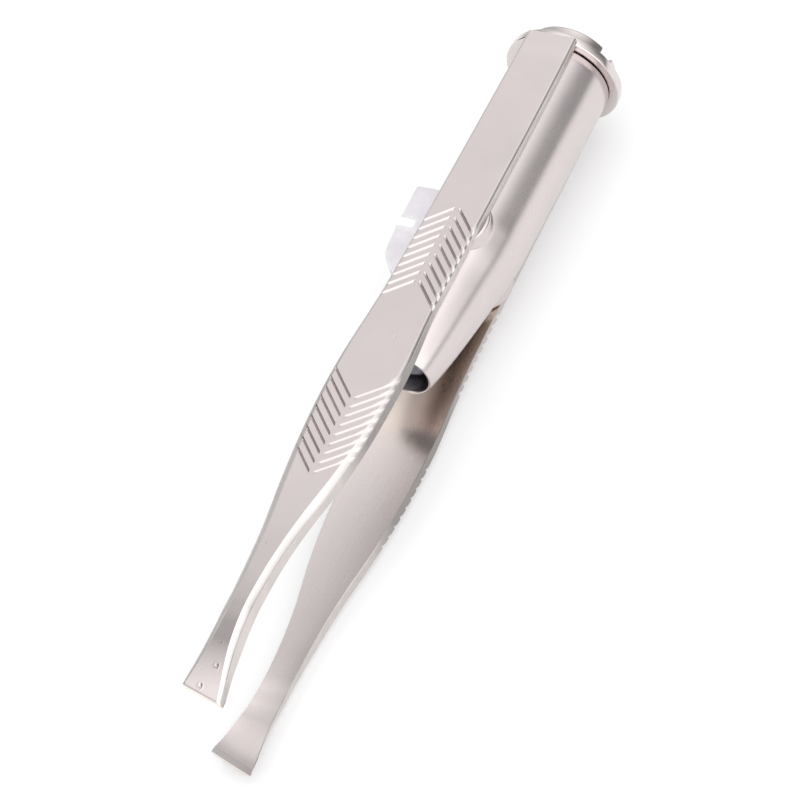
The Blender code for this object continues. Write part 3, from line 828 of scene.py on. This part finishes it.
def pad_object(name, side, PAD_R, PAD_Y):
    rings = []
    top = [(0.0, 0.0), (1.2, 0.0), (2.4, 0.0), (PAD_R - 0.58, 0.0), (PAD_R - 0.33, 0.004),
           (PAD_R - 0.22, 0.022), (PAD_R - 0.13, 0.062), (PAD_R - 0.065, 0.13),
           (PAD_R - 0.025, 0.215), (PAD_R - 0.005, 0.31), (PAD_R, 0.42)]
    seg = 128
    verts, rows_ = [], []
    for rad, fall in top:
        row = []
        count = 1 if rad == 0 else seg
        for k in range(count):
            a = 2 * math.pi * k / seg
            row.append(len(verts))
            verts.append(world(rad * math.sin(a), PAD_Y + rad * math.cos(a), side * (PAD_TOP - fall)))
        rows_.append(row)
    # the wall runs down into the tube, with a small fillet at its foot
    for t, out in ((0.45, 0.0), (0.8, 0.012), (0.92, 0.05), (1.0, 0.12)):
        row = []
        for k in range(seg):
            a = 2 * math.pi * k / seg
            rad = PAD_R + out
            x, yy = rad * math.sin(a), PAD_Y + rad * math.cos(a)
            r = nose_r(yy) - 0.02
            foot = math.sqrt(max(0.0, r * r - x * x))
            z = (PAD_TOP - 0.42) + (min(foot, PAD_TOP - 0.43) - (PAD_TOP - 0.42)) * t
            row.append(len(verts))
            verts.append(world(x, yy, side * z))
        rows_.append(row)
    # closed underneath, inside the tube's wall
    row = []
    for k in range(seg):
        a = 2 * math.pi * k / seg
        x, yy = 3.4 * math.sin(a), PAD_Y + 3.4 * math.cos(a)
        r = nose_r(yy) - 0.40
        row.append(len(verts))
        verts.append(world(x, yy, side * math.sqrt(max(0.0, r * r - x * x))))
    rows_.append(row)
    c = len(verts)
    verts.append(world(0, PAD_Y, side * (nose_r(PAD_Y) - 0.40)))
    faces = []
    for a, b in zip(rows_, rows_[1:]):
        for k in range(seg):
            j = (k + 1) % seg
            if len(a) == 1:
                faces.append((a[0], b[k], b[j]))
            else:
                faces.append((a[k], b[k], b[j], a[j]))
    for k in range(seg):
        faces.append((rows_[-1][k], c, rows_[-1][(k + 1) % seg]))
    ob = mesh_object(name, verts, faces, MAT["tube"], True, None)
    bm = bmesh.new()
    bm.from_mesh(ob.data)
    bmesh.ops.recalc_face_normals(bm, faces=bm.faces)
    bm.to_mesh(ob.data)
    bm.free()
    smooth_again(ob, 40)
    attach(ob, "tube_body")
    return ob


pad_object("upper_pad", 1, 3.68, -26.5)
pad_object("lower_pad", -1, 3.78, -26.1)

# ------------------------------------------------------------------ end cap
FL_R, FL_T, BOSS_R, BOSS_TOP = 6.76, 1.13, 5.20, (cap_hi[1] - ORIGIN_Y) / MM
prof = [(0.0, BOSS_TOP), (2.4, BOSS_TOP), (4.7, BOSS_TOP), (4.98, BOSS_TOP - 0.006),
        (5.09, BOSS_TOP - 0.028), (5.16, BOSS_TOP - 0.07), (5.19, BOSS_TOP - 0.13),
        (BOSS_R, BOSS_TOP - 0.21), (BOSS_R, FL_T + 0.14), (5.24, FL_T + 0.05),
        (5.32, FL_T + 0.01), (5.5, FL_T), (6.50, FL_T), (6.62, 1.122), (6.70, 1.09), (6.745, 1.04),
        (6.76, 0.96), (6.76, 0.60), (6.76, 0.16), (6.75, 0.095), (6.72, 0.045), (6.67, 0.012),
        (6.60, 0.0),
        (5.9, 0.0), (5.6, 0.0), (5.05, 0.0), (4.86, -0.04), (4.70, -0.10),
        (4.70, -0.34)]
inside = [(4.25, -0.34), (4.25, -0.35), (2.0, -0.35), (0.0, -0.35)]
cap = turned("screw_cap", prof + inside, MAT["cap"], 224, 28)


def turn_about_axis(ob, degrees):
    c = world(0, 0, 0)
    m = Matrix.Translation(c) @ Matrix.Rotation(math.radians(degrees), 4, "Y") @ Matrix.Translation(-c)
    ob.data.transform(m)


slot_cut = block("coin_cut", (-1.015, BOSS_TOP - 1.35, -8.0), (1.015, BOSS_TOP + 1.0, 8.0), 0.06, 2)
turn_about_axis(slot_cut, 67.5)
cut(cap, slot_cut)
smooth_again(cap, 28)
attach(cap, "cap")
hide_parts("end_cap")

# threaded spigot, a true helix of 0.75 mm pitch
TH_PITCH, TH_TOP, TH_END = 0.75, -0.32, -4.0
seg, steps = 96, 74
verts, faces = [], []
for i in range(steps + 1):
    yy = TH_TOP + (TH_END - TH_TOP) * i / steps
    for k in range(seg):
        a = 2 * math.pi * k / seg
        ph = (yy / TH_PITCH - k / seg) % 1.0
        tri = 1 - abs(2 * ph - 1)
        tri = min(1.0, max(0.0, (tri - 0.16) / 0.66))
        fade = min(1.0, max(0.0, (yy - TH_END - 0.10) / 0.45)) * min(1.0, max(0.0, (TH_TOP - yy) / 0.35))
        r = 4.62 + 0.32 * tri * fade - 0.14 * min(1.0, max(0.0, (TH_END + 0.25 - yy) / 0.25))
        verts.append(world(r * math.sin(a), yy, r * math.cos(a)))
for r, yy in ((4.25, TH_END), (4.25, TH_TOP)):
    for k in range(seg):
        a = 2 * math.pi * k / seg
        verts.append(world(r * math.sin(a), yy, r * math.cos(a)))
rings_n = steps + 3
for i in range(rings_n):
    for k in range(seg):
        j = (k + 1) % seg
        a, b = i * seg, ((i + 1) % rings_n) * seg
        faces.append((a + k, b + k, b + j, a + j))
spigot = mesh_object("cap_thread", verts, faces, MAT["cap"], True, None)
bm = bmesh.new()
bm.from_mesh(spigot.data)
bmesh.ops.recalc_face_normals(bm, faces=bm.faces)
bm.to_mesh(spigot.data)
bm.free()
smooth_again(spigot, 40)
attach(spigot, "cap")

# -------------------------------------------------------------- thumb slide
outline = [(-5.92, -19.27), (-8.93, -19.27), (-9.17, -19.50), (-9.17, -23.90),
           (-7.45, -23.98), (-7.30, -24.15), (-7.30, -24.80), (-7.45, -24.95),
           (-9.17, -25.00), (-9.06, -26.4), (-9.00, -27.00), (-8.95, -27.7), (-8.88, -28.35),
           (-8.76, -28.95), (-8.58, -29.45), (-8.22, -30.02), (-7.75, -30.62), (-7.25, -31.18),
           (-6.75, -31.62), (-6.45, -31.70), (-5.92, -31.70)]
bm = bmesh.new()
lo_ring = [bm.verts.new(world(x, y, -1.0)) for x, y in outline]
hi_ring = [bm.verts.new(world(x, y, 1.0)) for x, y in outline]
bm.faces.new(lo_ring)
bm.faces.new(hi_ring[::-1])
n = len(outline)
for i in range(n):
    j = (i + 1) % n
    bm.faces.new((lo_ring[i], hi_ring[i], hi_ring[j], lo_ring[j]))
bmesh.ops.recalc_face_normals(bm, faces=bm.faces)
rim = [e for e in bm.edges if abs(e.verts[0].co.z - e.verts[1].co.z) < 1e-7]
bmesh.ops.bevel(bm, geom=rim, offset=0.16 * MM, segments=4, profile=0.5, affect="EDGES",
                clamp_overlap=True)
# faces on the notch's walls take the glowing painted light material
painted_light_notch_walls = [(world(*[(p + q) / 2 for p, q in zip(outline[i], outline[i + 1])], 0.0))
               for i in range(3, 8)]
for f in bm.faces:
    c = f.calc_center_median()
    if min(math.dist(c, w) for w in painted_light_notch_walls) < 0.12 * MM:
        f.material_index = 1
knob = bm_object("thumb_slide", bm, [MAT["white"], MAT["white_notch"]], 40)
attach(knob, "switch")
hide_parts("switch_knob")
stem = block("slide_stem", (-6.2, -26.35, -0.68), (-3.80, -22.45, 0.68), 0.12, 3)
stem.data.materials.append(MAT["white"])
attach(stem, "switch")

# --------------------------------------------------------------------- lamp
lens_prof = [(0.0, -34.72), (2.70, -34.72), (2.84, -34.76), (2.89, -34.84), (2.89, -35.60),
             (2.84, -35.68), (2.62, -35.71), (2.50, -35.74), (2.46, -37.0), (2.45, -38.8),
             (2.44, -40.55)]
for i in range(1, 20):
    a = math.radians(90.0 * i / 20)
    lens_prof.append((2.44 * math.cos(a), -40.58 - 2.44 * math.sin(a)))
lens_prof.append((0.0, -43.02))
lens = turned("led_lens", lens_prof, MAT["epoxy"], 96, 40)
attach(lens, "tube_body")
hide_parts("led_lamp")

# the lead frame cast inside it: two posts, one with the reflector cup and die
cup = turned("led_cup", [(0.0, -38.60), (0.30, -38.60), (0.72, -39.15), (0.76, -39.15),
                         (0.74, -39.02), (0.66, -38.20), (0.0, -38.20)], MAT["nickel"], 48, 30)
for v in cup.data.vertices:
    v.co.x += 0.45 * MM
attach(cup, "tube_body")
die = block("led_die", (0.27, -38.74, -0.18), (0.63, -38.605, 0.18), 0.02, 1)
die.data.materials.append(MAT["die"])
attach(die, "tube_body")
for nm, pts, wdt in (("led_anvil", [(0.05, -35.9), (1.45, -35.9), (1.25, -37.2), (1.10, -38.19),
                                    (-0.15, -38.19), (-0.05, -37.0)], 0.22),
                     ("led_post", [(-1.50, -35.9), (-0.75, -35.9), (-0.55, -37.6),
                                   (-0.42, -38.75), (-0.86, -38.85), (-1.30, -37.4)], 0.22)):
    bm = bmesh.new()
    a = [bm.verts.new(world(x, y, -wdt)) for x, y in pts]
    b = [bm.verts.new(world(x, y, wdt)) for x, y in pts]
    bm.faces.new(a)
    bm.faces.new(b[::-1])
    for i in range(len(pts)):
        j = (i + 1) % len(pts)
        bm.faces.new((a[i], b[i], b[j], a[j]))
    bmesh.ops.recalc_face_normals(bm, faces=bm.faces)
    bmesh.ops.bevel(bm, geom=bm.edges[:], offset=0.04 * MM, segments=2, profile=0.5, affect="EDGES")
    ob = bm_object(nm, bm, MAT["nickel"], 35)
    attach(ob, "tube_body")
# ------------------------------------------------------------------- camera
scene = bpy.context.scene
cam_data = bpy.data.cameras.new("camera")
cam = bpy.data.objects.new("camera", cam_data)
scene.collection.objects.link(cam)
right = Vector((0.89207228, 0.40079605, -0.20873327))
down = Vector((0.19240094, -0.7548185, -0.62708127))
ahead = Vector((-0.40888742, 0.51924134, -0.75046619))
rot = Matrix((right, -down, -ahead)).transposed()
cam.matrix_world = Matrix.Translation(world(237.81062, -347.89861, 434.68104)) @ rot.to_4x4()
cam_data.sensor_width = 36.0
cam_data.lens = 5431.694 / 800.0 * 36.0
cam_data.clip_start, cam_data.clip_end = 0.01, 10.0
scene.camera = cam

# -------------------------------------------------------------------- stage
floor_m, fnt, fb = new_material("studio_floor")
fb.inputs["Roughness"].default_value = 0.9
fb.inputs["Specular IOR Level"].default_value = 0.1
# a pale sheet with a painted pool of light: it glows round the object and is paler there, lifting the object's
# shadow, and falls off to a darker, unlit grey 0.42 m away
f_co = object_coords(fnt, (1 / 0.42, 1 / 0.42, 1 / 0.42))
f_gr = fnt.nodes.new("ShaderNodeTexGradient")
f_gr.gradient_type = "SPHERICAL"
fnt.links.new(f_co, f_gr.inputs["Vector"])
floor_painted_falloff = ramp(fnt, f_gr.outputs["Fac"], [(0.0, (0.26,) * 3), (0.70, (0.52,) * 3), (1.0, (0.52,) * 3)])
floor_painted_glow = ramp(fnt, f_gr.outputs["Fac"], [(0.0, (0.0,) * 3), (0.70, (0.40,) * 3), (1.0, (0.40,) * 3)])
fnt.links.new(floor_painted_falloff.outputs["Color"], fb.inputs["Base Color"])
fnt.links.new(floor_painted_glow.outputs["Color"], fb.inputs["Emission Color"])
fb.inputs["Emission Strength"].default_value = 1.0
bm = bmesh.new()
bmesh.ops.create_grid(bm, x_segments=2, y_segments=2, size=2.0)
floor = bm_object("studio_floor", bm, floor_m, None)
floor.location = (0, 0, CAD_BOX[0][2] - 0.0002)

world_data = bpy.data.worlds.new("studio")
scene.world = world_data
world_data.use_nodes = True
wn = world_data.node_tree
bg = wn.nodes["Background"]
WL = wn.links.new


def wmath(op, a, b_=None):
    n = wn.nodes.new("ShaderNodeMath")
    n.operation = op
    for i, v in enumerate((a, b_)):
        if v is None:
            continue
        if isinstance(v, (int, float)):
            n.inputs[i].default_value = v
        else:
            WL(v, n.inputs[i])
    return n.outputs[0]


tc = wn.nodes.new("ShaderNodeTexCoord")
sep = wn.nodes.new("ShaderNodeSeparateXYZ")
WL(tc.outputs["Generated"], sep.inputs["Vector"])
dx, dy, dz = sep.outputs["X"], sep.outputs["Y"], sep.outputs["Z"]
# a dim wall behind on the right, paler on the left, a big soft light overhead
back_r = ramp(wn, dz, [(0.0, (0.20,) * 3), (0.15, (0.20,) * 3), (0.30, (0.24,) * 3),
                       (0.40, (0.36,) * 3), (0.50, (0.58,) * 3), (0.60, (0.88,) * 3),
                       (0.70, (1.16,) * 3),
                       (0.80, (1.55,) * 3), (1.0, (1.95,) * 3)])
back_l0 = ramp(wn, dz, [(0.0, (0.66,) * 3), (0.40, (0.66,) * 3), (0.60, (0.85,) * 3),
                        (0.74, (1.16,) * 3), (0.85, (1.55,) * 3), (1.0, (1.95,) * 3)])
front = ramp(wn, dz, [(0.0, (0.45,) * 3), (0.06, (0.6,) * 3), (0.18, (1.60,) * 3),
                      (1.0, (1.95,) * 3)])
facing = wmath("ADD", wmath("MULTIPLY", dx, 0.60), wmath("MULTIPLY", dy, -0.80))
mr = wn.nodes.new("ShaderNodeMapRange")
mr.interpolation_type = "SMOOTHSTEP"
mr.inputs["From Min"].default_value = -0.10
mr.inputs["From Max"].default_value = 0.55
WL(facing, mr.inputs["Value"])
side = wn.nodes.new("ShaderNodeMapRange")
side.interpolation_type = "SMOOTHSTEP"
side.inputs["From Min"].default_value = -0.45
side.inputs["From Max"].default_value = 0.65
WL(dx, side.inputs["Value"])
behind = wn.nodes.new("ShaderNodeMix")
behind.data_type = "RGBA"
WL(side.outputs["Result"], behind.inputs[0])
WL(back_l0.outputs["Color"], behind.inputs[6])
WL(back_r.outputs["Color"], behind.inputs[7])
both = wn.nodes.new("ShaderNodeMix")
both.data_type = "RGBA"
WL(mr.outputs["Result"], both.inputs[0])
WL(behind.outputs[2], both.inputs[6])
WL(front.outputs["Color"], both.inputs[7])
# a dark flag low on the left
toward = wmath("ADD", wmath("ADD", wmath("MULTIPLY", dx, -0.985), wmath("MULTIPLY", dy, -0.17)),
               wmath("MULTIPLY", dz, 0.03))
flag = wn.nodes.new("ShaderNodeMapRange")
flag.interpolation_type = "SMOOTHSTEP"
flag.inputs["From Min"].default_value = 0.84
flag.inputs["From Max"].default_value = 0.94
flag.inputs["To Min"].default_value = 1.0
flag.inputs["To Max"].default_value = 0.06
WL(toward, flag.inputs["Value"])
lit = wn.nodes.new("ShaderNodeMix")
lit.data_type, lit.blend_type = "RGBA", "MULTIPLY"
lit.inputs[0].default_value = 1.0
WL(both.outputs[2], lit.inputs[6])
WL(flag.outputs["Result"], lit.inputs[7])
WL(lit.outputs[2], bg.inputs["Color"])
bg.inputs["Strength"].default_value = 1.0

scene.view_settings.view_transform = "Standard"
scene.view_settings.look = "None"
